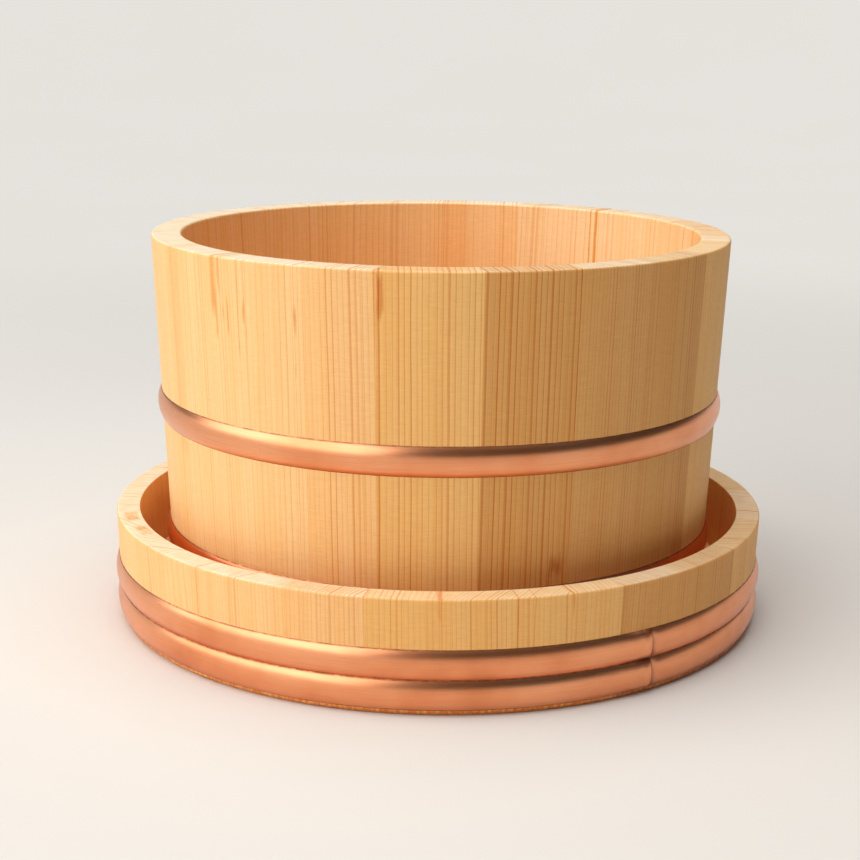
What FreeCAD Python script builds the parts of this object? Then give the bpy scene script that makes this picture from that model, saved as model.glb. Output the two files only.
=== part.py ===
import FreeCAD, Part
import math
import os
from FreeCAD import Vector

# A coopered rice tub that stands in its own upturned lid.
# Millimetres, +Z up. The origin is on the surface that the lid stands on, on the
# axis of both rings, and the front of the tub faces -Y.
os.makedirs("parts", exist_ok=True)

# Driving dimensions: the tub
TUB_MOUTH_RADIUS = 104.75       # outside radius at the mouth
TUB_HEIGHT = 126.5
TUB_TAPER = 0.0425              # growth of the radius per millimetre of height
TUB_WALL = 10.8
TUB_EDGE_BREAK = 1.3            # chamfer on both edges of the mouth
TUB_BASE_RECESS = 5.0           # height of the foot ring under the base
TUB_BASE_THICKNESS = 12.0
TUB_BASE_LIP = 8.0              # thickness where the base enters its groove
TUB_BASE_BEVEL = 6.0            # width of the bevel between there and full thickness
TUB_CROZE_DEPTH = 3.5           # depth of the groove in the staves
TUB_BOARD_COUNT = 3

# Driving dimensions: the lid, upturned, with its mouth at the top. It slips over
# the mouth of the tub, so its own mouth is the tub's with some play and its wall.
LID_PLAY = 6.75                 # all round, between the two walls when it is on
LID_WALL = 8.5
LID_MOUTH_RADIUS = TUB_MOUTH_RADIUS + LID_PLAY + LID_WALL
LID_HEIGHT = 39.5
LID_TAPER = 0.038
LID_EDGE_BREAK = 0.8            # chamfer round the outside of the mouth
LID_PANEL_RECESS = 3.5          # the panel lies this far inside the stave ends
LID_PANEL_THICKNESS = 10.0
LID_CROZE_DEPTH = 3.5
LID_BOARD_COUNT = 3

# Driving dimensions: the copper hoops, crowned strips with lapped, brazed ends
HOOP_WIDTH = 10.3
HOOP_CROWN = 1.6                # how far a hoop stands proud of the wood
HOOP_LAP_LENGTH = 12.0          # overlap of the two ends
HOOP_LAP_RISE = 0.5             # extra height where the outer end lies on the inner
HOOP_GAP = 0.1                  # between the two hoops of a pair
LID_HOOPS_ABOVE_ENDS = 1.9      # from the ends of the lid staves to the pair
TUB_HOOPS_ABOVE_FOOT = 1.3      # from the foot of the tub to its lower pair
TUB_MIDDLE_HOOP_HEIGHT = 60.4   # from the foot of the tub to the middle hoop

# Driving dimensions: the bamboo pins hidden in the joints
PIN_WIDTH = 2.6
PIN_LENGTH = 16.0
BOARD_PIN_SPREAD = 100.0        # between the two pins of a board joint
TUB_PIN_HEIGHT = 88.0           # from the foot of the tub to its ring of pins

# Play between the edge of a base and the bottom of its groove
BOARD_PLAY = 0.3

# Each stave is planed in flats of about this many degrees of the ring, and the
# crown of each hoop is rolled in this many bands across its width
FLAT_ANGLE = 5.5
LEAST_FLAT_COUNT = 2
CROWN_BANDS = 4

# Where the joints between staves stand, in degrees from the front towards +X.
# A cooper splits staves of uneven width, and the last one closes the ring.
TUB_JOINTS = (
    -66.0, -50.5, -36.8, -24.5, -11.2, 7.5, 25.1, 40.5, 58.0, 77.0,
    97.0, 117.0, 138.0, 160.0, 183.0, 207.0, 229.0, 251.0, 272.5,
)
LID_JOINTS = (
    -77.0, -60.0, -44.0, -24.0, -11.0, 0.6, 21.0, 29.8, 43.5, 58.0,
    76.0, 95.0, 115.0, 135.0, 155.0, 175.0, 196.0, 217.0, 238.0, 261.0,
)

# Where the outer end of each hoop stops, in the same degrees
LID_LAP_ANGLE = 36.5
TUB_MIDDLE_LAP_ANGLE = 150.0
TUB_BASE_LAP_ANGLE = 128.0

# Heights that follow from the driving dimensions
TUB_FOOT = LID_PANEL_RECESS + LID_PANEL_THICKNESS
TUB_MOUTH = TUB_FOOT + TUB_HEIGHT
TUB_BASE_LOW = TUB_FOOT + TUB_BASE_RECESS

ORIGIN = Vector(0, 0, 0)
UP = Vector(0, 0, 1)
SIDE = 90.0                     # sections are drawn here: on +X, degrees from the front


def save(shape, name):
    """Write one piece to its own STEP file."""
    shape.exportStep("parts/" + name + ".step")


def lid_radius(height):
    """Outside radius of the lid at a height above the ground."""
    return LID_MOUTH_RADIUS - LID_TAPER * (LID_HEIGHT - height)


def tub_radius(height):
    """Outside radius of the tub at a height above the ground."""
    return TUB_MOUTH_RADIUS - TUB_TAPER * (TUB_MOUTH - height)


def at(radius, angle, height):
    """The point at a radius, degrees from the front and a height."""
    turn = math.radians(angle)
    return Vector(radius * math.sin(turn), -radius * math.cos(turn), height)


def flat(points):
    """A flat face from its corners."""
    return Part.Face(Part.makePolygon(points + points[:1]))


def croze(radius, wall, depth, low, height):
    """Corners of the groove that holds the edge of a base, from the top down."""
    high = low + height
    bottom = radius(low) - wall + depth
    return [(radius(high) - wall, high), (bottom, high), (bottom, low), (radius(low) - wall, low)]


def stave(section, start, end):
    """One stave: its section carried from joint to joint in narrow flats."""
    flats = max(LEAST_FLAT_COUNT, round((end - start) / FLAT_ANGLE))
    stations = []
    for step in range(flats + 1):
        angle = start + (end - start) * step / flats
        stations.append([at(radius, angle, height) for radius, height in section])
    faces = [flat(stations[0]), flat(stations[-1])]
    for near, far in zip(stations, stations[1:]):
        for corner in range(len(section)):
            faces.append(flat([near[corner - 1], near[corner], far[corner], far[corner - 1]]))
    shell = Part.makeShell(faces)
    shell.sewShape()
    return Part.Solid(shell)


def stave_ring(section, joints, pins):
    """All the staves of a ring, with a socket for each pin that enters them."""
    ring = []
    for start, end in zip(joints, joints[1:] + (joints[0] + 360,)):
        ring.append(stave(section, start, end).cut(pins))
    return ring


def joint_pin(radius, wall, angle, height):
    """A square bamboo pin across one stave joint, in the middle of the wall."""
    pin = Part.makeBox(PIN_WIDTH, PIN_LENGTH, PIN_WIDTH)
    pin.translate(Vector(-PIN_WIDTH / 2, -PIN_LENGTH / 2, -PIN_WIDTH / 2))
    pin.translate(Vector(radius(height) - wall / 2, 0, height))
    pin.rotate(ORIGIN, UP, angle - SIDE)
    return pin


def wedged_disc(low, thickness, lip, bevel, wall_radius, depth):
    """A round base, bevelled underneath so that it wedges in its groove.

    The bevel starts at full thickness, passes the wall at the height of the
    groove and goes on to the edge.
    """
    high = low + thickness
    radius = wall_radius + depth - BOARD_PLAY
    inner = wall_radius - BOARD_PLAY - bevel
    tip = lip - (thickness - lip) * depth / bevel
    outline = [(0, low), (inner, low), (radius, high - tip), (radius, high), (0, high)]
    return flat([at(r, SIDE, z) for r, z in outline]).revolve(ORIGIN, UP, 360)


def board_pins(disc, count):
    """Two square pins across each joint between the boards of a base."""
    box = disc.BoundBox
    pins = []
    for joint in range(1, count):
        for side in (-0.5, 0.5):
            pin = Part.makeBox(PIN_LENGTH, PIN_WIDTH, PIN_WIDTH)
            pin.translate(Vector(-PIN_LENGTH / 2, -PIN_WIDTH / 2, -PIN_WIDTH / 2))
            pin.translate(Vector(box.XMin + joint * box.XLength / count,
                                 side * BOARD_PIN_SPREAD, box.Center.z))
            pins.append(pin)
    return pins


def base_boards(disc, count, pins):
    """The base sawn into parallel boards, with a socket for each pin."""
    box = disc.BoundBox
    width = box.XLength / count
    boards = []
    for index in range(count):
        corner = Vector(box.XMin + index * width, box.YMin, box.ZMin)
        slab = Part.makeBox(width, box.YLength, box.ZLength, corner)
        boards.append(disc.common(slab).cut(pins))
    return boards


def hoop_section(radius, bottom, crown):
    """Section of a hoop: straight against the tapered wood, crowned outside."""
    top = bottom + HOOP_WIDTH
    middle = (bottom + top) / 2
    low = at(radius(bottom), SIDE, bottom)
    high = at(radius(top), SIDE, top)
    proud = at(radius(middle) + crown, SIDE, middle)
    return flat(Part.Arc(low, proud, high).toShape().discretize(CROWN_BANDS + 1))


def hoop(radius, bottom, lap_angle):
    """A closed hoop, thicker where its outer end lies over the inner one."""
    lap_span = math.degrees(HOOP_LAP_LENGTH / radius(bottom))
    single = hoop_section(radius, bottom, HOOP_CROWN)
    double = hoop_section(radius, bottom, HOOP_CROWN + HOOP_LAP_RISE)
    band = single.revolve(ORIGIN, UP, 360 - lap_span)
    band.rotate(ORIGIN, UP, lap_angle - SIDE)
    lap = double.revolve(ORIGIN, UP, lap_span)
    lap.rotate(ORIGIN, UP, lap_angle - lap_span - SIDE)
    return band.fuse(lap)


# Lid staves: tapered wall, eased mouth, and a croze groove near the ground end
lid_groove = croze(lid_radius, LID_WALL, LID_CROZE_DEPTH, LID_PANEL_RECESS, LID_PANEL_THICKNESS)
lid_section = [
    (lid_radius(0), 0),
    (lid_radius(LID_HEIGHT - LID_EDGE_BREAK), LID_HEIGHT - LID_EDGE_BREAK),
    (lid_radius(LID_HEIGHT) - LID_EDGE_BREAK, LID_HEIGHT),
    (lid_radius(LID_HEIGHT) - LID_WALL, LID_HEIGHT),
] + lid_groove + [(lid_radius(0) - LID_WALL, 0)]
lid_pin_height = (LID_PANEL_RECESS + LID_PANEL_THICKNESS + LID_HEIGHT) / 2
lid_stave_pins = [joint_pin(lid_radius, LID_WALL, a, lid_pin_height) for a in LID_JOINTS]
for number, piece in enumerate(stave_ring(lid_section, LID_JOINTS, lid_stave_pins), 1):
    save(piece, "lid_stave_%02d" % number)
save(Part.makeCompound(lid_stave_pins), "lid_stave_pins")

# Lid panel: boards let into the groove at their full thickness
lid_panel_radius = lid_radius(LID_PANEL_RECESS) - LID_WALL + LID_CROZE_DEPTH - BOARD_PLAY
lid_panel = Part.makeCylinder(lid_panel_radius, LID_PANEL_THICKNESS, Vector(0, 0, LID_PANEL_RECESS))
lid_panel_pins = board_pins(lid_panel, LID_BOARD_COUNT)
lid_boards = base_boards(lid_panel, LID_BOARD_COUNT, lid_panel_pins)
for number, piece in enumerate(lid_boards, 1):
    save(piece, "lid_panel_board_%d" % number)
save(Part.makeCompound(lid_panel_pins), "lid_panel_pins")

# Tub staves: both edges of the mouth are eased, and the foot ring stands on the panel
tub_groove_low = TUB_BASE_LOW + TUB_BASE_THICKNESS - TUB_BASE_LIP
tub_groove = croze(tub_radius, TUB_WALL, TUB_CROZE_DEPTH, tub_groove_low, TUB_BASE_LIP)
tub_eased = TUB_MOUTH - TUB_EDGE_BREAK
tub_section = [
    (tub_radius(TUB_FOOT), TUB_FOOT),
    (tub_radius(tub_eased), tub_eased),
    (tub_radius(TUB_MOUTH) - TUB_EDGE_BREAK, TUB_MOUTH),
    (tub_radius(TUB_MOUTH) - TUB_WALL + TUB_EDGE_BREAK, TUB_MOUTH),
    (tub_radius(tub_eased) - TUB_WALL, tub_eased),
] + tub_groove + [(tub_radius(TUB_FOOT) - TUB_WALL, TUB_FOOT)]
tub_pin_height = TUB_FOOT + TUB_PIN_HEIGHT
tub_stave_pins = [joint_pin(tub_radius, TUB_WALL, a, tub_pin_height) for a in TUB_JOINTS]
for number, piece in enumerate(stave_ring(tub_section, TUB_JOINTS, tub_stave_pins), 1):
    save(piece, "tub_stave_%02d" % number)
save(Part.makeCompound(tub_stave_pins), "tub_stave_pins")

# Tub base: boards let into the groove, bevelled underneath
tub_base = wedged_disc(TUB_BASE_LOW, TUB_BASE_THICKNESS, TUB_BASE_LIP, TUB_BASE_BEVEL,
                       tub_radius(tub_groove_low) - TUB_WALL, TUB_CROZE_DEPTH)
tub_base_pins = board_pins(tub_base, TUB_BOARD_COUNT)
tub_boards = base_boards(tub_base, TUB_BOARD_COUNT, tub_base_pins)
for number, piece in enumerate(tub_boards, 1):
    save(piece, "tub_base_board_%d" % number)
save(Part.makeCompound(tub_base_pins), "tub_base_pins")

# Hoops, driven up the taper from the narrow end of each ring
HOOP_PITCH = HOOP_WIDTH + HOOP_GAP
tub_pair = TUB_FOOT + TUB_HOOPS_ABOVE_FOOT
save(hoop(lid_radius, LID_HOOPS_ABOVE_ENDS, LID_LAP_ANGLE), "lid_hoop_lower")
save(hoop(lid_radius, LID_HOOPS_ABOVE_ENDS + HOOP_PITCH, LID_LAP_ANGLE), "lid_hoop_upper")
save(hoop(tub_radius, tub_pair, TUB_BASE_LAP_ANGLE), "tub_base_hoop_lower")
save(hoop(tub_radius, tub_pair + HOOP_PITCH, TUB_BASE_LAP_ANGLE), "tub_base_hoop_upper")
save(hoop(tub_radius, TUB_FOOT + TUB_MIDDLE_HOOP_HEIGHT, TUB_MIDDLE_LAP_ANGLE),
     "tub_middle_hoop")
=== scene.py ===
import math

import bmesh
import bpy
from mathutils import Matrix, Vector


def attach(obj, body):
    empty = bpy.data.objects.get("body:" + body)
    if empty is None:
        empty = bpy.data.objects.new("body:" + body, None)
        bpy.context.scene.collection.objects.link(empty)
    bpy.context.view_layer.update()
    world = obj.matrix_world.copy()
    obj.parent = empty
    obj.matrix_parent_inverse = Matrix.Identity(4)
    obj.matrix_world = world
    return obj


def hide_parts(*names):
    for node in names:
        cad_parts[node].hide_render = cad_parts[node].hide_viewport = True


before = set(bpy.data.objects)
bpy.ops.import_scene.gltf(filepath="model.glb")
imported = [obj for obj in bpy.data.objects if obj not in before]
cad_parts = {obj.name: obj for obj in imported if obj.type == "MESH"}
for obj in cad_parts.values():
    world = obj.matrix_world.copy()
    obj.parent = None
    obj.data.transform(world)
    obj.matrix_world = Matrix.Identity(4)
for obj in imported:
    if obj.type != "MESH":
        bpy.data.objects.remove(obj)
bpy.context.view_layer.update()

# The staves of the tub. Nineteen lengths of straight-grained cypress are split from
# the log, planed to a taper and set edge to edge in a ring. Bamboo pins and rice
# glue join them, the hoops hold them, and a groove near the foot takes the base.
MM = 0.001
UP = Vector((0, 0, 1))
ORIGIN = Vector((0, 0, 0))
WHITE = (1.0, 1.0, 1.0, 1.0)
TUB_FOOT = 13.5 * MM
TUB_MOUTH = 140.0 * MM
TUB_MOUTH_RADIUS = 104.75 * MM
TUB_TAPER = 0.0425
TUB_WALL = 10.8 * MM
TUB_GROOVE = (22.5 * MM, 30.5 * MM)
TUB_GROOVE_DEPTH = 3.5 * MM
TUB_RIM_ROUND = 0.9 * MM
FOOT_ROUND = 0.6 * MM
ARRIS_SEGMENTS = 4
ARRIS_REACH = 0.02 * MM         # an edge this close to an arris belongs to it
JOINT_EASE = 0.06 * MM
JOINT_REACH = 0.002 * MM
STEP = 1.25                     # degrees of the ring between two lines of a mesh
LEAST_STEPS = 4
LOG_SPACING = 0.17              # metres between logs, so that no two pieces match
GRAIN_RELIEF = 0.04 * MM
MARK_SOFTNESS = 5.0             # mm over which a resin mark fades out along a stave
END_MARK_SOFTNESS = 1.5


def colour(red, green, blue):
    """A colour written as on a screen, as Blender's linear values."""
    linear = []
    for part in (red, green, blue):
        part = part / 255
        linear.append(part / 12.92 if part <= 0.04045 else ((part + 0.055) / 1.055) ** 2.4)
    return (*linear, 1.0)


def put(tree, kind, settings, inputs):
    """Add a node. An input given as a socket is linked, any other is set."""
    node = tree.nodes.new(kind)
    for name, value in settings.items():
        setattr(node, name, value)
    for key, value in inputs.items():
        if isinstance(value, bpy.types.NodeSocket):
            tree.links.new(value, node.inputs[key])
        else:
            node.inputs[key].default_value = value
    return node


def calc(tree, operation, *values):
    """One step of arithmetic on values. MULTIPLY_ADD is the first by the second, plus the third."""
    return put(tree, "ShaderNodeMath", {"operation": operation}, dict(enumerate(values))).outputs[0]


def vector_calc(tree, operation, inputs):
    """One step of arithmetic on vectors."""
    return put(tree, "ShaderNodeVectorMath", {"operation": operation}, inputs).outputs[0]


def length_of(tree, vector):
    """How long a vector is."""
    return put(tree, "ShaderNodeVectorMath", {"operation": "LENGTH"}, {0: vector}).outputs["Value"]


def axes(tree, vector):
    """The three parts of a vector."""
    return put(tree, "ShaderNodeSeparateXYZ", {}, {0: vector}).outputs


def fade(tree, value, start, end):
    """0 at start and 1 at end, smooth between, also when start is the higher."""
    limits = {"Value": value, "From Min": start, "From Max": end}
    return put(tree, "ShaderNodeMapRange", {"interpolation_type": "SMOOTHSTEP"}, limits).outputs[0]


def noise(tree, place, scale, detail=2.0, rough=0.5):
    """Noise from 0 to 1 at a place."""
    inputs = {"Vector": place, "Scale": scale, "Detail": detail, "Roughness": rough}
    return put(tree, "ShaderNodeTexNoise", {}, inputs).outputs[0]


def drawn_out(tree, place, scales, detail=2.0, rough=0.5):
    """Noise with its own scale along each axis."""
    return noise(tree, vector_calc(tree, "MULTIPLY", {0: place, 1: scales}), 1.0, detail, rough)


def blend(tree, factor, first, second, mode="MIX"):
    """Two colours mixed."""
    settings = {"data_type": "RGBA", "blend_type": mode}
    return put(tree, "ShaderNodeMix", settings, {0: factor, 6: first, 7: second}).outputs[2]


def new_group(name, inputs, outputs):
    """An empty shader group with named sockets, and its two ends."""
    tree = bpy.data.node_groups.new(name, "ShaderNodeTree")
    for title, kind in inputs:
        tree.interface.new_socket(name=title, in_out="INPUT", socket_type="NodeSocket" + kind)
    for title, kind in outputs:
        tree.interface.new_socket(name=title, in_out="OUTPUT", socket_type="NodeSocket" + kind)
    return tree, tree.nodes.new("NodeGroupInput").outputs, tree.nodes.new("NodeGroupOutput").inputs


def new_material(name):
    """A material, its node tree and its surface shader."""
    material = bpy.data.materials.new(name)
    material.use_nodes = True
    tree = material.node_tree
    return material, tree, tree.nodes["Principled BSDF"]


def object_place(tree):
    """Each point's place in metres."""
    return put(tree, "ShaderNodeTexCoord", {}, {}).outputs["Object"]


def stored(tree, name):
    """What a piece stores about its own material."""
    return put(tree, "ShaderNodeAttribute", {"attribute_name": name}, {}).outputs


def relief(tree, surface, height, distance, strength):
    """Give a surface a shallow relief."""
    bump = put(tree, "ShaderNodeBump", {}, {"Height": height, "Distance": distance, "Strength": strength})
    tree.links.new(bump.outputs[0], surface.inputs["Normal"])


def cypress_grain():
    """Year rings and fibres of sawn cypress, from each point's place in its log.

    The place is across the rings, along them and up the trunk. Gap is the width of
    a year in millimetres, and Depth is how dark the late wood is.
    """
    tree, given, made = new_group(
        "cypress grain",
        [("Place", "Vector"), ("Gap", "Float"), ("Depth", "Float"), ("Early", "Color"),
         ("Late", "Color"), ("Tone", "Color")],
        [("Color", "Color"), ("Roughness", "Float"), ("Height", "Float")])
    place = vector_calc(tree, "SCALE", {0: given["Place"], "Scale": 1 / MM})

    # The rings wander a little on their way up the trunk
    wander = drawn_out(tree, place, (0.012, 0.012, 0.007), 1.0)
    shiver = drawn_out(tree, place, (0.25, 0.25, 0.03), 1.0)
    across = calc(tree, "MULTIPLY_ADD", wander, 2.6, axes(tree, place)[0])
    across = calc(tree, "MULTIPLY_ADD", shiver, 0.3, across)

    # Wide and narrow years, each with its own depth of late wood
    years = calc(tree, "DIVIDE", across, given["Gap"])
    spread = put(tree, "ShaderNodeTexNoise", {"noise_dimensions": "1D"},
                 {"W": calc(tree, "MULTIPLY", years, 0.37), "Detail": 1.0}).outputs[0]
    years = calc(tree, "MULTIPLY_ADD", spread, 0.9, years)
    season = calc(tree, "FRACT", years)
    late = calc(tree, "MULTIPLY", fade(tree, season, 0.68, 0.9), fade(tree, season, 1.0, 0.93))
    hint = calc(tree, "MULTIPLY", fade(tree, season, 0.15, 0.85), 0.16)
    sort = put(tree, "ShaderNodeTexWhiteNoise", {"noise_dimensions": "1D"},
               {"W": calc(tree, "FLOOR", years)}).outputs[0]
    strength = calc(tree, "MULTIPLY_ADD", sort, 0.6, 0.5)
    line = calc(tree, "MAXIMUM", calc(tree, "MULTIPLY", late, strength), hint)
    line = calc(tree, "MULTIPLY", line, given["Depth"])

    # Fibres, ripples across them, and broad streaks that run the length of the piece
    fine = drawn_out(tree, place, (2.6, 2.6, 0.1), 3.0, 0.65)
    ripple = drawn_out(tree, place, (0.25, 0.25, 1.9))
    broad = drawn_out(tree, place, (0.16, 0.16, 0.005), 3.0, 0.6)
    wood = blend(tree, line, given["Early"], given["Late"])
    wood = blend(tree, 1.0, wood, given["Tone"], "MULTIPLY")
    wood = blend(tree, fade(tree, broad, 0.35, 0.7), wood, (0.99, 0.935, 0.83, 1.0), "MULTIPLY")
    shade = calc(tree, "MULTIPLY_ADD", ripple, 0.17, calc(tree, "MULTIPLY_ADD", fine, 0.16, 0.84))
    grey = put(tree, "ShaderNodeCombineColor", {}, {0: shade, 1: shade, 2: shade}).outputs[0]
    tree.links.new(blend(tree, 1.0, wood, grey, "MULTIPLY"), made["Color"])
    rough = calc(tree, "MULTIPLY_ADD", fine, 0.16, 0.48)
    tree.links.new(calc(tree, "MULTIPLY_ADD", line, -0.08, rough), made["Roughness"])
    height = calc(tree, "MULTIPLY_ADD", fine, 0.5, calc(tree, "MULTIPLY", line, 0.6))
    tree.links.new(calc(tree, "MULTIPLY_ADD", ripple, 0.5, height), made["Height"])
    return tree


def resin_and_shade_mark():
    """A soft-edged streak: a resin mark, and also the band of painted shade at the lid's foot.

    It lies round Centre, in degrees of the ring, and runs from Low to High along the
    stave, or across its sawn end.
    """
    tree, given, made = new_group(
        "resin and shade mark",
        [("Degrees", "Float"), ("Run", "Float"), ("Centre", "Float"), ("Half", "Float"),
         ("Low", "Float"), ("High", "Float"), ("Soft", "Float")],
        [("Mask", "Float")])
    away = calc(tree, "ABSOLUTE", calc(tree, "SUBTRACT", given["Degrees"], given["Centre"]))
    side = fade(tree, calc(tree, "DIVIDE", away, given["Half"]), 1.2, 0.5)
    top = fade(tree, calc(tree, "SUBTRACT", given["High"], given["Run"]), 0.0, given["Soft"])
    foot = fade(tree, calc(tree, "SUBTRACT", given["Run"], given["Low"]), 0.0, given["Soft"])
    tree.links.new(calc(tree, "MULTIPLY", side, calc(tree, "MULTIPLY", top, foot)), made["Mask"])
    return tree


GRAIN = cypress_grain()
RESIN_AND_SHADE = resin_and_shade_mark()
END_GRAIN = colour(255, 239, 210)


def stain(tree, wood, marks, degrees, run, soft, only):
    """The wood with its resin marks and painted shade, each as strong as the mask only lets it be."""
    for centre, half, low, high, mark_colour, strength in marks:
        mask = put(tree, "ShaderNodeGroup", {"node_tree": RESIN_AND_SHADE},
                   {"Degrees": degrees, "Run": run, "Centre": centre, "Half": half,
                    "Low": low, "High": high, "Soft": soft}).outputs["Mask"]
        mask = calc(tree, "MULTIPLY", calc(tree, "MULTIPLY", mask, only), strength)
        wood = blend(tree, mask, wood, mark_colour, "MULTIPLY")
    return wood


def cypress(name, early, late, marks, end_marks):
    """Planed cypress, oiled by nothing but handling, with its resin marks and any band of painted shade
    listed among them.

    Each mark is a centre and half width in degrees from the front, the two heights
    in millimetres that it runs between, its colour and how strong it is. The marks on
    the sawn ends run between two radii instead.
    """
    material, tree, surface = new_material(name)
    gap, depth, pale_end = axes(tree, stored(tree, "log_cut")["Vector"])
    tone = stored(tree, "log_tone")["Color"]

    # The level faces are sawn across the grain: paler, with darker late wood
    normal = put(tree, "ShaderNodeNewGeometry", {}, {}).outputs["Normal"]
    level = calc(tree, "ABSOLUTE", axes(tree, normal)[2])
    sawn_end = calc(tree, "MULTIPLY", fade(tree, level, 0.55, 0.95), pale_end)
    early = blend(tree, sawn_end, early, END_GRAIN)
    tone = blend(tree, calc(tree, "MULTIPLY", sawn_end, 0.8), tone, WHITE)
    depth = calc(tree, "MULTIPLY", depth, calc(tree, "MULTIPLY_ADD", sawn_end, 0.4, 1.0))
    grain = put(tree, "ShaderNodeGroup", {"node_tree": GRAIN},
                {"Place": stored(tree, "log_place")["Vector"], "Gap": gap, "Depth": depth,
                 "Early": early, "Late": late, "Tone": tone}).outputs

    # Resin keeps to the fibres along a stave, and soaks in unevenly on a sawn end
    place = object_place(tree)
    x, y, z = axes(tree, place)
    turn = calc(tree, "ARCTAN2", x, calc(tree, "MULTIPLY", y, -1.0))
    ragged = calc(tree, "SUBTRACT", drawn_out(tree, place, (900.0, 900.0, 90.0)), 0.5)
    degrees = calc(tree, "MULTIPLY_ADD", ragged, 0.5, calc(tree, "DEGREES", turn))
    height = calc(tree, "MULTIPLY_ADD", ragged, 9.0, calc(tree, "DIVIDE", z, MM))
    radius = length_of(tree, vector_calc(tree, "MULTIPLY", {0: place, 1: (1 / MM, 1 / MM, 0.0)}))
    fibres = fade(tree, drawn_out(tree, place, (2400.0, 2400.0, 50.0)), 0.15, 0.45)
    blotch = calc(tree, "MULTIPLY_ADD", fade(tree, noise(tree, place, 700.0), 0.3, 0.55), 0.6, 0.4)
    on_end = calc(tree, "MULTIPLY", sawn_end, blotch)
    wood = stain(tree, grain["Color"], marks, degrees, height, MARK_SOFTNESS, fibres)
    wood = stain(tree, wood, end_marks, degrees, radius, END_MARK_SOFTNESS, on_end)

    tree.links.new(wood, surface.inputs["Base Color"])
    tree.links.new(grain["Roughness"], surface.inputs["Roughness"])
    relief(tree, surface, grain["Height"], GRAIN_RELIEF, 0.6)
    surface.inputs["Specular IOR Level"].default_value = 0.35
    return material


BROWN = colour(232, 190, 108)
RUST = colour(250, 222, 190)
DARK = colour(216, 147, 60)
RED = colour(240, 158, 100)
ORANGE = colour(253, 214, 158)
TUB_MARKS = [
    (-59.4, 2.2, 66, 150, RUST, 0.3),
    (-60.6, 0.3, 30, 150, BROWN, 0.3),
    (-45.2, 0.7, 119, 150, BROWN, 0.7),
    (-43.6, 0.4, 127, 150, BROWN, 0.5),
    (-44.5, 0.22, 111, 131, BROWN, 0.6),
    (-42.6, 0.25, 117, 127, BROWN, 0.5),
    (-41.4, 0.26, 113, 131, BROWN, 0.7),
    (-38.7, 0.18, 106, 150, BROWN, 0.6),
    (-37.4, 0.4, 118, 128, BROWN, 0.6),
    (-26.2, 0.1, 20, 150, BROWN, 0.5),
    (-26.05, 0.4, 117, 128, DARK, 0.5),
    (-10.8, 0.35, 20, 150, BROWN, 0.35),
    (-10.3, 0.62, 123, 141, DARK, 0.6),
    (22.6, 1.3, 37, 47, DARK, 0.6),
    (21.3, 0.16, 30, 46, DARK, 0.8),
    (102.5, 0.25, 30, 150, BROWN, 0.6),
    (137.9, 0.42, 30, 150, BROWN, 1.0),
    (139.6, 0.25, 30, 150, BROWN, 0.8),
    (176.5, 3.4, 30, 150, ORANGE, 0.35),
    (207.0, 0.25, 30, 150, BROWN, 0.6),
]
TUB_END_MARKS = [
    (-43.0, 0.22, 92, 107, BROWN, 0.7),
    (-26.2, 0.2, 92, 107, RED, 0.7),
    (-18.5, 0.12, 92, 107, RED, 0.5),
    (-15.5, 0.12, 92, 107, RED, 0.5),
    (-2.5, 10.0, 92, 107, ORANGE, 0.9),
    (16.3, 8.5, 92, 107, ORANGE, 0.5),
    (97.0, 18.0, 90, 107, RUST, 0.8),
    (101.0, 1.8, 95, 107, RED, 0.5),
    (110.0, 1.3, 92, 104, RED, 0.5),
    (138.6, 1.2, 92, 107, ORANGE, 0.9),
    (137.9, 0.5, 92, 107, BROWN, 0.8),
    (139.6, 0.3, 92, 107, BROWN, 0.7),
]
TUB_CYPRESS = cypress("tub cypress", colour(250, 204, 143), colour(217, 126, 38),
                      TUB_MARKS, TUB_END_MARKS)

# The red, green and blue of each tone of timber, and how much paler its sawn end is
TONES = {
    "cream": (1.0, 1.0, 1.0, 1.0),
    "pale": (1.0, 0.98, 0.95, 1.0),
    "pink": (1.0, 0.93, 0.85, 0.85),
    "honey": (0.96, 0.88, 0.67, 0.6),
    "amber": (0.79, 0.65, 0.43, 0.65),
    "tan": (0.8, 0.67, 0.48, 0.9),
    "straw": (1.0, 1.1, 1.27, 0.5),
}


def shown(bm, name, material, smooth=30.0):
    """Turn a finished bmesh into a piece of the object, in place of its CAD node."""
    mesh = bpy.data.meshes.new(name + "_shown")
    bm.to_mesh(mesh)
    bm.free()
    mesh.materials.append(material)
    mesh.shade_smooth()
    mesh.set_sharp_from_angle(angle=math.radians(smooth))
    piece = bpy.data.objects.new(name + "_shown", mesh)
    bpy.context.scene.collection.objects.link(piece)
    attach(piece, "root")
    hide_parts(name)
    return piece


def store(mesh, title, kind, values):
    """Keep a vector or a colour at each point of a mesh, for its material."""
    mesh.attributes.new(title, "FLOAT_" + kind, "POINT")
    mesh.attributes[title].data.foreach_set(kind.lower(), values)


def saw_from_log(piece, across, depth, along, look, sawn, number):
    """Store where each point of a piece lay in its log, and how that log grew.

    across, depth and along are the width, the thickness and the length of the
    piece. sawn is 1 where the level faces are sawn across the grain, and 0 elsewhere.
    """
    slant, gap, dark, tone = look
    red, green, blue, pale_end = TONES[tone]
    tilt = math.radians(slant)
    over = across * math.cos(tilt) + depth * math.sin(tilt)
    round_them = depth * math.cos(tilt) - across * math.sin(tilt)
    apart = LOG_SPACING * number
    mesh = piece.data
    place = []
    for vertex in mesh.vertices:
        place += [vertex.co.dot(over) + apart, vertex.co.dot(round_them) + apart, vertex.co.dot(along)]
    points = len(mesh.vertices)
    store(mesh, "log_place", "VECTOR", place)
    store(mesh, "log_cut", "VECTOR", [gap, dark, pale_end * sawn] * points)
    store(mesh, "log_tone", "COLOR", [red, green, blue, 1.0] * points)


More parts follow.
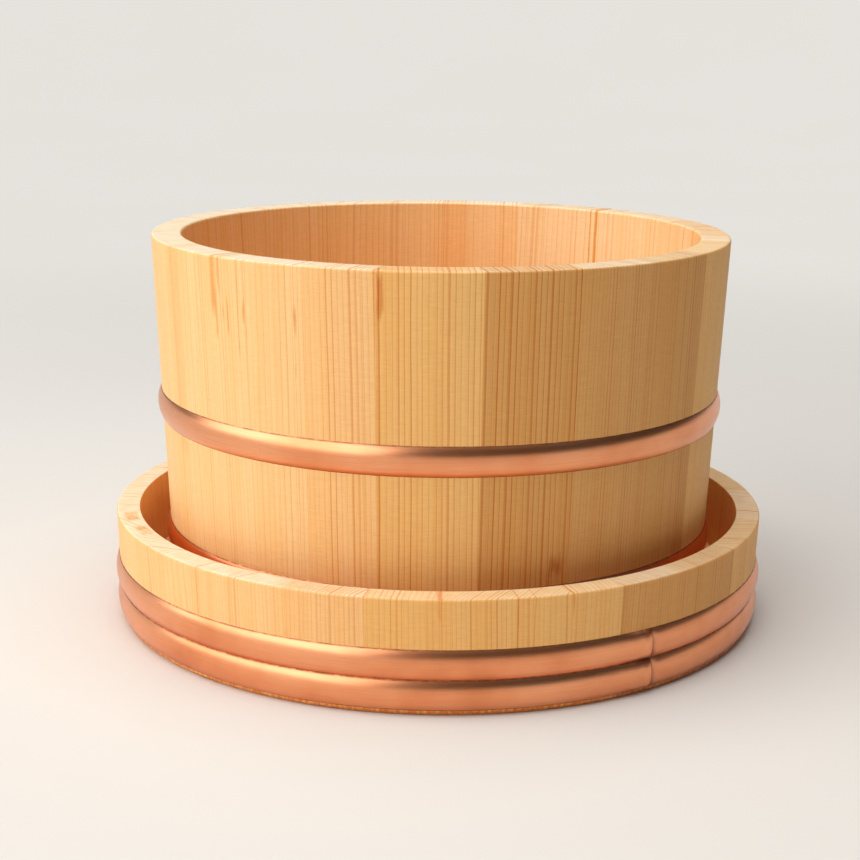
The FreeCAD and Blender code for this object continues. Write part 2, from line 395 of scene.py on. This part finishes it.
def ease_edges(bm, edges, offset, segments=1):
    """Break or round some edges of a piece."""
    bmesh.ops.bevel(bm, geom=edges, offset=offset, offset_type="OFFSET", segments=segments,
                    profile=0.5, affect="EDGES", material=-1)


def stave(outline, start, end, arrises):
    """A stave: its outline turned from joint to joint, with its edges eased.

    Each arris is a radius, a height and how far the edge there is rounded.
    """
    bm = bmesh.new()
    turned = Matrix.Rotation(math.radians(start), 3, "Z")
    corners = [bm.verts.new(turned @ Vector((0, -radius, height))) for radius, height in outline]
    edges = [bm.edges.new((corners[i - 1], corners[i])) for i in range(len(corners))]
    steps = max(LEAST_STEPS, round((end - start) / STEP))
    spun = bmesh.ops.spin(bm, geom=corners + edges, cent=ORIGIN, axis=UP,
                          angle=math.radians(end - start), steps=steps)
    bmesh.ops.contextual_create(bm, geom=corners + edges)
    bmesh.ops.contextual_create(bm, geom=spun["geom_last"])
    bmesh.ops.recalc_face_normals(bm, faces=bm.faces)
    for radius, height, rounding in arrises:
        run = []
        for edge in bm.edges:
            ends = [(vert.co.xy.length, vert.co.z) for vert in edge.verts]
            if all(abs(r - radius) < ARRIS_REACH and abs(z - height) < ARRIS_REACH for r, z in ends):
                run.append(edge)
        ease_edges(bm, run, rounding, ARRIS_SEGMENTS)
    joints = []
    turns = math.radians(start), math.radians(end)
    sides = [Vector((math.cos(turn), math.sin(turn), 0)) for turn in turns]
    for edge in bm.edges:
        for side in sides:
            flush = all(abs(vert.co.dot(side)) < JOINT_REACH for vert in edge.verts)
            flat = any(abs(face.normal.dot(side)) > 0.999 for face in edge.link_faces)
            if flush and flat:
                joints.append(edge)
    ease_edges(bm, joints, JOINT_EASE)
    return bm


def groove(radius, wall, depth, low, high):
    """Corners of the groove that holds the edge of a base, from the top down."""
    bottom = radius(low) - wall + depth
    return [(radius(high) - wall, high), (bottom, high), (bottom, low), (radius(low) - wall, low)]


def stave_ring(name, outline, joints, arrises, looks, material):
    """All the staves of one ring, each with its own timber."""
    for number, start in enumerate(joints):
        end = (joints + (joints[0] + 360,))[number + 1]
        node = "%s_%02d" % (name, number + 1)
        piece = shown(stave(outline, start, end, arrises), node, material)
        piece.modifiers.new("even shading", "WEIGHTED_NORMAL").keep_sharp = True
        middle = math.radians((start + end) / 2)
        across = Vector((math.cos(middle), math.sin(middle), 0))
        depth = Vector((math.sin(middle), -math.cos(middle), 0))
        saw_from_log(piece, across, depth, UP, looks[number], 1.0, number + len(name))


def tub_radius(height):
    """Outside radius of the tub at a height."""
    return TUB_MOUTH_RADIUS - TUB_TAPER * (TUB_MOUTH - height)


# Where the joints stand, in degrees from the front towards +X, and for each stave
# the slant of its rings, the width of a year in mm, how dark the late wood is, and
# its tone
TUB_JOINTS = (
    -66.0, -50.5, -36.8, -24.5, -11.2, 7.5, 25.1, 40.5, 58.0, 77.0,
    97.0, 117.0, 138.0, 160.0, 183.0, 207.0, 229.0, 251.0, 272.5,
)
TUB_LOOKS = [
    (8, 1.7, 0.35, "pale"), (14, 1.5, 0.45, "pale"), (-9, 2.2, 0.4, "pale"),
    (6, 1.9, 0.6, "pink"), (-4, 2.0, 0.85, "honey"), (3, 1.9, 1.1, "amber"),
    (-7, 1.3, 0.7, "tan"), (12, 1.7, 0.6, "amber"), (-15, 2.2, 0.5, "honey"),
    (9, 2.0, 0.45, "pale"), (24, 1.6, 0.35, "straw"), (-12, 2.4, 0.4, "straw"),
    (18, 2.1, 0.4, "straw"), (-6, 1.8, 0.4, "cream"), (30, 2.3, 0.35, "cream"),
    (10, 2.0, 0.45, "cream"), (-20, 1.7, 0.4, "cream"), (13, 2.2, 0.4, "pale"),
    (-5, 1.8, 0.32, "cream"),
]
tub_outline = [
    (tub_radius(TUB_FOOT), TUB_FOOT),
    (tub_radius(TUB_MOUTH), TUB_MOUTH),
    (tub_radius(TUB_MOUTH) - TUB_WALL, TUB_MOUTH),
] + groove(tub_radius, TUB_WALL, TUB_GROOVE_DEPTH, *TUB_GROOVE) + [
    (tub_radius(TUB_FOOT) - TUB_WALL, TUB_FOOT),
]
tub_arrises = [
    (*tub_outline[0], FOOT_ROUND),
    (*tub_outline[1], TUB_RIM_ROUND),
    (*tub_outline[2], TUB_RIM_ROUND),
]
stave_ring("tub_stave", tub_outline, TUB_JOINTS, tub_arrises, TUB_LOOKS, TUB_CYPRESS)

# The staves of the lid, upturned. Twenty shorter staves of the same timber make a
# ring that slips over the mouth of the tub. The edges of its mouth are eased, and
# the groove for the panel lies close to the end that it stands on.
LID_HEIGHT = 39.5 * MM
LID_MOUTH_RADIUS = 120.0 * MM
LID_TAPER = 0.038
LID_WALL = 8.5 * MM
LID_GROOVE = (3.5 * MM, 13.5 * MM)
LID_GROOVE_DEPTH = 3.5 * MM
LID_RIM_ROUND = 0.9 * MM
LID_ROUND_INSIDE = 0.35 * MM
LID_FOOT_ROUND = 1.7 * MM
# Painted shade: the foot of the lid, below its lower hoop, is darkened all round where it stands on the
# floor
FOOT_SHADE = (0.0, 400, -20, 5, DARK, 0.95)      # darker all round, where it stands
LID_MARKS = [
    FOOT_SHADE,
    (-41.2, 0.5, -5, 60, RUST, 0.3),
    (-34.2, 0.3, -5, 60, RUST, 0.4),
    (0.5, 0.35, 30, 60, RUST, 0.7),
    (12.3, 0.12, -5, 60, BROWN, 0.7),
    (15.0, 0.10, -5, 60, BROWN, 0.6),
    (21.2, 0.2, 30, 60, BROWN, 0.6),
]
LID_END_MARKS = [
    (-73.4, 3.2, 112.2, 118.4, BROWN, 0.6),
    (-72.4, 1.3, 112.5, 117.5, DARK, 0.35),
    (-64.0, 3.4, 111.8, 117.6, BROWN, 0.55),
    (-65.4, 1.0, 112.5, 117, DARK, 0.3),
    (-19.0, 7.0, 109, 121, RUST, 0.7),
    (-11.0, 0.2, 109, 121, RED, 0.8),
    (0.4, 0.5, 109, 121, RED, 0.8),
    (21.0, 0.2, 109, 121, BROWN, 0.9),
]
LID_CYPRESS = cypress("lid cypress", colour(250, 201, 138), colour(217, 126, 38),
                      LID_MARKS, LID_END_MARKS)
LID_JOINTS = (
    -77.0, -60.0, -44.0, -24.0, -11.0, 0.6, 21.0, 29.8, 43.5, 58.0,
    76.0, 95.0, 115.0, 135.0, 155.0, 175.0, 196.0, 217.0, 238.0, 261.0,
)
LID_LOOKS = [
    (70, 2.2, 0.25, "cream"), (56, 1.5, 0.45, "pale"), (20, 1.3, 0.42, "pale"),
    (12, 1.5, 0.5, "pink"), (3, 1.9, 0.55, "honey"), (38, 1.3, 0.5, "honey"),
    (8, 1.7, 0.5, "honey"), (-10, 1.2, 0.6, "tan"), (14, 1.6, 0.55, "amber"),
    (-22, 1.8, 0.5, "honey"), (8, 2.2, 0.5, "pink"), (35, 1.8, 0.5, "honey"),
    (-12, 2.0, 0.5, "pale"), (16, 1.5, 0.55, "pink"), (-8, 2.2, 0.5, "honey"),
    (26, 1.7, 0.5, "pale"), (-18, 2.0, 0.5, "pink"), (9, 1.9, 0.45, "honey"),
    (-14, 2.3, 0.4, "pale"), (11, 2.0, 0.35, "cream"),
]


def lid_radius(height):
    """Outside radius of the upturned lid at a height."""
    return LID_MOUTH_RADIUS - LID_TAPER * (LID_HEIGHT - height)


lid_outline = [
    (lid_radius(0), 0.0),
    (lid_radius(LID_HEIGHT), LID_HEIGHT),
    (lid_radius(LID_HEIGHT) - LID_WALL, LID_HEIGHT),
] + groove(lid_radius, LID_WALL, LID_GROOVE_DEPTH, *LID_GROOVE) + [
    (lid_radius(0) - LID_WALL, 0.0),
]
lid_arrises = [
    (*lid_outline[0], LID_FOOT_ROUND),
    (*lid_outline[1], LID_RIM_ROUND),
    (*lid_outline[2], LID_ROUND_INSIDE),
]
stave_ring("lid_stave", lid_outline, LID_JOINTS, lid_arrises, LID_LOOKS, LID_CYPRESS)

# The base of the tub and the panel of the lid. Each is three boards of cypress with
# bamboo pins between them, turned to a disc and let into the groove of the staves.
# The edge of the base is bevelled underneath; the panel keeps its full thickness.
BOARD_COUNT = 3
BOARD_EASE = 0.18 * MM
BOARD_PLAY = 0.3 * MM
BASE_LOW, BASE_HIGH = 18.5 * MM, TUB_GROOVE[1]
BASE_TIP = 24.83 * MM           # where the bevel meets the edge
BASE_BEVEL = 6.0 * MM
PANEL_LOW, PANEL_HIGH = LID_GROOVE
DISC_STEPS = 160
MERGE = 0.01 * MM
FIRST_BOARD_LOG = 40
BOARD_LOOKS = [(24, 2.3, 0.55, "pale"), (-33, 2.8, 0.6, "pink"), (38, 2.0, 0.55, "honey")]
base_wall = tub_radius(TUB_GROOVE[0]) - TUB_WALL
base_radius = base_wall + TUB_GROOVE_DEPTH - BOARD_PLAY
base_inner = base_wall - BOARD_PLAY - BASE_BEVEL
panel_radius = lid_radius(LID_GROOVE[0]) - LID_WALL + LID_GROOVE_DEPTH - BOARD_PLAY


def board(profile, index):
    """One board of a round base: the disc turned whole, then sawn along the grain."""
    bm = bmesh.new()
    corners = [bm.verts.new((0, -radius, height)) for radius, height in profile]
    edges = [bm.edges.new(pair) for pair in zip(corners, corners[1:])]
    bmesh.ops.spin(bm, geom=corners + edges, cent=ORIGIN, axis=UP, angle=math.tau,
                   steps=DISC_STEPS, use_merge=True)
    bmesh.ops.remove_doubles(bm, verts=bm.verts, dist=MERGE)
    width = 2 * max(radius for radius, height in profile) / BOARD_COUNT
    left = (index - BOARD_COUNT / 2) * width
    for side, keep in ((left, -1), (left + width, 1)):
        # The two outermost lines only touch the rim
        if abs(side) < (BOARD_COUNT / 2 - 0.1) * width:
            everything = bm.verts[:] + bm.edges[:] + bm.faces[:]
            bmesh.ops.bisect_plane(bm, geom=everything, dist=0.001 * MM, plane_co=(side, 0, 0),
                                   plane_no=(keep, 0, 0), clear_outer=True)
            cut = [edge for edge in bm.edges if edge.is_boundary]
            sawn = bmesh.ops.contextual_create(bm, geom=cut)["faces"]
            bmesh.ops.recalc_face_normals(bm, faces=bm.faces)
            ease_edges(bm, [edge for face in sawn for edge in face.edges], BOARD_EASE)
    bmesh.ops.recalc_face_normals(bm, faces=bm.faces)
    return bm


base_profile = [(0, BASE_LOW), (base_inner, BASE_LOW), (base_radius, BASE_TIP),
                (base_radius, BASE_HIGH), (0, BASE_HIGH)]
panel_profile = [(0, PANEL_LOW), (panel_radius, PANEL_LOW), (panel_radius, PANEL_HIGH), (0, PANEL_HIGH)]
for name, profile, material, slot in (
        ("tub_base_board", base_profile, TUB_CYPRESS, "tub_cypress"),
        ("lid_panel_board", panel_profile, LID_CYPRESS, "lid_cypress")):
    for index, look in enumerate(BOARD_LOOKS):
        piece = shown(board(profile, index), "%s_%d" % (name, index + 1), material)
        saw_from_log(piece, Vector((1, 0, 0)), UP, Vector((0, 1, 0)), look, 0.0,
                     FIRST_BOARD_LOG + index + len(name))

# The hoops. Each is a strip of copper, rolled to a crowned section, bent round and
# brazed where its outer end laps over the inner one. It is driven up the taper of
# the staves until it bites: two on the lid, two at the foot of the tub, one midway.
HOOP_WIDTH = 10.38 * MM
HOOP_PITCH = 10.4 * MM          # from one hoop of a pair to the next
HOOP_CROWN = 1.6 * MM
LID_PAIR = 1.86 * MM
TUB_PAIR = 14.76 * MM
TUB_MIDDLE = 73.86 * MM
LAP_LENGTH = 12.0 * MM
LAP_RISE = 0.5 * MM
LAP_RAMP = 8.0 * MM
LAP_STEP = 0.35 * MM
LAP_BEAD = 0.3 * MM
LAP_BEAD_LENGTH = 3.2 * MM
CROWN_STEPS = 14
LAP_STEPS = 48
RING_STEPS = 260
DROP_STEPS = 3
HOOP_SHARP = 50.0               # degrees between two faces, from where an edge is sharp
DRAWN_RELIEF = 0.03 * MM


def worn_copper():
    """Rolled copper: lines drawn along the strip, soft tarnish, and painted shade at each lap.

    Each hoop stores how far a point is along and across its strip, and from its lap,
    in millimetres.
    """
    material, tree, surface = new_material("copper")
    place = object_place(tree)
    strip = stored(tree, "strip_place")["Vector"]
    across, from_lap = axes(tree, strip)[1:3]
    drawn = drawn_out(tree, strip, (0.04, 1.8, 0.0), 4.0, 0.7)
    cloud = noise(tree, place, 30.0, 3.0, 0.55)
    metal = blend(tree, fade(tree, cloud, 0.35, 0.7), colour(243, 167, 122), colour(234, 150, 103))
    lines = calc(tree, "MULTIPLY", fade(tree, drawn, 0.45, 0.75), 0.35)
    metal = blend(tree, lines, metal, colour(216, 126, 78))

    # Tarnish in faint clouds and on both edges; painted shade in the pinch beside a lap, where the strip
    # is dented, and in the seam past its step
    clouds = calc(tree, "MULTIPLY", fade(tree, cloud, 0.55, 0.8), 0.2)
    edges = calc(tree, "MAXIMUM", fade(tree, across, 9.7, 10.3), fade(tree, across, 0.5, 0.0))
    edges = calc(tree, "MULTIPLY", edges, fade(tree, noise(tree, place, 420.0, 2.0, 0.6), 0.0, 0.7))
    # Painted shade: both edges of the strip beside a lap are darkened where it is dented and pinched
    # against its neighbour
    lap_shade = calc(tree, "MAXIMUM", fade(tree, across, 7.6, 10.2), fade(tree, across, 2.8, 0.2))
    lap_shade = calc(tree, "MULTIPLY", lap_shade, fade(tree, from_lap, 13.0, 2.0))
    lap_shade = calc(tree, "MULTIPLY", lap_shade, fade(tree, noise(tree, place, 150.0, 3.0), 0.35, 0.6))
    # Painted shade: a dark line in the seam just past the step of the lap
    seam_shade = calc(tree, "MULTIPLY", fade(tree, from_lap, 0.55, 0.12), 0.9)
    # Real tarnish and painted shade are gathered into one mask, which darkens the copper and roughens it
    tarnish_and_shade = clouds
    for more in (edges, lap_shade, seam_shade):
        tarnish_and_shade = calc(tree, "MAXIMUM", tarnish_and_shade, more)
    metal = blend(tree, calc(tree, "MULTIPLY", tarnish_and_shade, 0.8), metal, colour(120, 62, 36))
    rough = calc(tree, "MULTIPLY_ADD", cloud, 0.06, 0.21)
    rough = calc(tree, "MULTIPLY_ADD", drawn, 0.12, rough)
    rough = calc(tree, "MULTIPLY_ADD", tarnish_and_shade, 0.2, rough)

    tree.links.new(metal, surface.inputs["Base Color"])
    tree.links.new(rough, surface.inputs["Roughness"])
    relief(tree, surface, drawn, DRAWN_RELIEF, 0.5)
    surface.inputs["Metallic"].default_value = 1.0
    return material


COPPER = worn_copper()


def lap_rise(before, after, lap, ramp, drop, bead):
    """How far a strip rises, this many degrees before or after its outer end."""
    if before <= lap:
        swell = min(1.0, (lap - before) / ramp)
        rise = LAP_RISE + LAP_BEAD * max(0.0, 1 - abs(2 * before / bead - 1) ** 2)
    elif after <= drop:
        swell = 1 - after / drop
        rise = LAP_RISE
    else:
        return 0.0
    return rise * swell * swell * (3 - 2 * swell)


def hoop(name, radius, bottom, lap_angle):
    """A hoop: its section turned round the ring, and swollen where its ends lap."""
    top = bottom + HOOP_WIDTH
    lap, ramp, drop, bead = (math.degrees(length / radius(bottom)) for length in
                             (LAP_LENGTH, LAP_RAMP, LAP_STEP, LAP_BEAD_LENGTH))

    # The section is an arc over the straight line that lies on the wood
    low = Vector((0, -radius(bottom), bottom))
    high = Vector((0, -radius(top), top))
    chord = high - low
    bend = (chord.length_squared / 4 + HOOP_CROWN ** 2) / (2 * HOOP_CROWN)
    outwards = Vector((1, 0, 0)).cross(chord).normalized()
    centre = (low + high) / 2 + outwards * (HOOP_CROWN - bend)
    bm = bmesh.new()
    foot = bm.verts.new(low)
    bmesh.ops.spin(bm, geom=[foot], cent=centre, axis=(-1, 0, 0),
                   angle=(low - centre).angle(high - centre), steps=CROWN_STEPS)
    arc = bm.verts[:]
    bmesh.ops.contextual_create(bm, geom=[arc[0], arc[-1]])
    to_lap = Matrix.Rotation(math.radians(lap_angle), 3, "Z")
    bmesh.ops.rotate(bm, verts=bm.verts, cent=ORIGIN, matrix=to_lap)

    # Past the outer end the strip drops, goes round the ring and comes to its lap
    ring = bm.verts[:] + bm.edges[:]
    for span, steps in ((drop, DROP_STEPS), (360 - lap - drop, RING_STEPS), (lap, LAP_STEPS)):
        ring = bmesh.ops.spin(bm, geom=ring, cent=ORIGIN, axis=UP, angle=math.radians(span),
                              steps=steps)["geom_last"]
    bmesh.ops.remove_doubles(bm, verts=bm.verts, dist=MERGE)
    for vert in bm.verts:
        angle = math.degrees(math.atan2(vert.co.x, -vert.co.y))
        rise = lap_rise((lap_angle - angle) % 360, (angle - lap_angle) % 360, lap, ramp, drop, bead)
        proud = max(0.0, vert.co.xy.length - radius(vert.co.z)) / HOOP_CROWN
        vert.co.xy += vert.co.xy.normalized() * rise * min(1.0, proud * 4)
    bmesh.ops.recalc_face_normals(bm, faces=bm.faces)
    mesh = shown(bm, name, COPPER, HOOP_SHARP).data
    place = []
    for vertex in mesh.vertices:
        angle = (math.atan2(vertex.co.x, -vertex.co.y) - math.radians(lap_angle)) % math.tau
        place += [angle * radius(bottom) / MM, (vertex.co.z - bottom) / MM,
                  min(angle, math.tau - angle) * radius(bottom) / MM]
    store(mesh, "strip_place", "VECTOR", place)


# The last value is where the outer end stops, in degrees from the front towards +X
hoop("lid_hoop_lower", lid_radius, LID_PAIR, 35.9)
hoop("lid_hoop_upper", lid_radius, LID_PAIR + HOOP_PITCH, 35.7)
hoop("tub_base_hoop_lower", tub_radius, TUB_PAIR, 128.0)
hoop("tub_base_hoop_upper", tub_radius, TUB_PAIR + HOOP_PITCH, 128.0)
hoop("tub_middle_hoop", tub_radius, TUB_MIDDLE, 150.0)


# The pins. Square bamboo pegs, driven into both sides of every joint before the
# glue sets. They are hidden once the joints are closed.
def split_bamboo():
    """Bamboo with the dark dots and lines of its fibres."""
    material, tree, surface = new_material("bamboo")
    fibre = drawn_out(tree, object_place(tree), (900.0, 900.0, 3200.0))
    cane = blend(tree, fade(tree, fibre, 0.4, 0.7), colour(226, 200, 140), colour(176, 132, 72))
    tree.links.new(cane, surface.inputs["Base Color"])
    tree.links.new(calc(tree, "MULTIPLY_ADD", fibre, 0.2, 0.4), surface.inputs["Roughness"])
    return material


BAMBOO = split_bamboo()
for name in ("tub_stave_pins", "lid_stave_pins", "tub_base_pins", "lid_panel_pins"):
    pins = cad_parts[name].data.materials
    pins.clear()
    pins.append(BAMBOO)

# The set. A pale floor that rises softly far away on all sides, one large soft
# window of light from the left, and a dim sky that is brighter overhead.
FLOOR_RADIUS = 3.2
FLOOR_PROFILE = [(0.0, 0.0), (0.5, 0.0), (0.75, 0.02), (0.93, 0.14), (1.0, 0.4)]   # share, height
FLOOR_STEPS = 64
FLOOR_ENDS = (0.22, 1.0)        # from here to there the floor turns into backdrop
floor_mesh = bmesh.new()
points = [floor_mesh.verts.new((0, -FLOOR_RADIUS * share, height)) for share, height in FLOOR_PROFILE]
runs = [floor_mesh.edges.new(pair) for pair in zip(points, points[1:])]
bmesh.ops.spin(floor_mesh, geom=points + runs, cent=ORIGIN, axis=UP, angle=math.tau,
               steps=FLOOR_STEPS, use_merge=True)
bmesh.ops.remove_doubles(floor_mesh, verts=floor_mesh.verts, dist=MM)
bmesh.ops.recalc_face_normals(floor_mesh, faces=floor_mesh.faces)
if floor_mesh.faces[0].normal.z < 0:
    bmesh.ops.reverse_faces(floor_mesh, faces=floor_mesh.faces)
mesh = bpy.data.meshes.new("floor")
floor_mesh.to_mesh(mesh)
floor_mesh.free()
mesh.shade_smooth()
floor = bpy.data.objects.new("floor", mesh)
bpy.context.scene.collection.objects.link(floor)
round_off = floor.modifiers.new("round off", "SUBSURF")
round_off.levels = 2
round_off.render_levels = 2
paper, tree, surface = new_material("pale paper")
place = object_place(tree)
pale = blend(tree, noise(tree, place, 3.0), colour(231, 228, 223), colour(228, 224, 218))
tree.links.new(pale, surface.inputs["Base Color"])
surface.inputs["Roughness"].default_value = 0.8
surface.inputs["Specular IOR Level"].default_value = 0.15
far = fade(tree, length_of(tree, place), *FLOOR_ENDS)
path = put(tree, "ShaderNodeLightPath", {}, {}).outputs
seen = calc(tree, "MAXIMUM", path["Is Camera Ray"], calc(tree, "MAXIMUM", path["Is Glossy Ray"],
                                                         path["Is Transmission Ray"]))
backdrop = put(tree, "ShaderNodeEmission", {}, {"Color": pale, "Strength": 1.0}).outputs[0]
mixed = put(tree, "ShaderNodeMixShader", {}, {0: calc(tree, "MULTIPLY", far, seen),
                                              1: surface.outputs[0], 2: backdrop})
tree.links.new(mixed.outputs[0], tree.nodes["Material Output"].inputs["Surface"])
mesh.materials.append(paper)


def soft_panel(name, place, aim, width, height, watts, tint):
    """A soft rectangular lamp that looks at a point."""
    lamp = bpy.data.lights.new(name, "AREA")
    lamp.shape = "RECTANGLE"
    lamp.size = width
    lamp.size_y = height
    lamp.energy = watts
    lamp.color = tint
    panel = bpy.data.objects.new(name, lamp)
    panel.location = place
    panel.rotation_euler = (Vector(aim) - Vector(place)).to_track_quat("-Z", "Y").to_euler()
    panel.visible_camera = False
    bpy.context.scene.collection.objects.link(panel)


soft_panel("window", place=(-1.42, -0.72, 0.82), aim=(0, 0, 0.07), width=3.0, height=1.25,
           watts=30.0, tint=(1.0, 0.99, 0.97))
soft_panel("overhead", place=(-0.1, -0.1, 1.7), aim=(0, 0, 0), width=1.5, height=1.5,
           watts=21.0, tint=(1.0, 0.99, 0.98))

world = bpy.data.worlds.new("studio")
bpy.context.scene.world = world
world.use_nodes = True
tree = world.node_tree
tree.nodes.clear()
rise = axes(tree, put(tree, "ShaderNodeTexCoord", {}, {}).outputs["Generated"])[2]
shade = blend(tree, fade(tree, rise, 0.4, 0.95), (0.05, 0.049, 0.048, 1.0), (0.35, 0.345, 0.34, 1.0))
lit = put(tree, "ShaderNodeBackground", {}, {"Color": shade, "Strength": 1.0}).outputs[0]
put(tree, "ShaderNodeOutputWorld", {}, {"Surface": lit})

# The camera stands a little over half a metre in front, somewhat above the mouth of
# the tub, and looks slightly down.
EYE_PLACE = (0, -0.61985, 0.2155)
PITCH, YAW, ROLL = 0.2387, -0.0053, 0.0101
LENS_PIXELS = 1696.2
PHOTO_PIXELS = 860
SENSOR_WIDTH = 36.0
forward = Vector((math.sin(YAW) * math.cos(PITCH), math.cos(YAW) * math.cos(PITCH), -math.sin(PITCH)))
level = Vector((math.cos(YAW), -math.sin(YAW), 0))
lifted = level.cross(forward)
across = math.cos(ROLL) * level + math.sin(ROLL) * lifted
upright = math.cos(ROLL) * lifted - math.sin(ROLL) * level
camera = bpy.data.cameras.new("camera")
camera.sensor_width = SENSOR_WIDTH
camera.lens = LENS_PIXELS * SENSOR_WIDTH / PHOTO_PIXELS
camera.clip_start = 0.01
eye = bpy.data.objects.new("camera", camera)
turn = Matrix((across, upright, -forward)).transposed().to_4x4()
eye.matrix_world = Matrix.Translation(EYE_PLACE) @ turn
bpy.context.scene.collection.objects.link(eye)
bpy.context.scene.camera = eye
bpy.context.scene.view_settings.view_transform = "Standard"
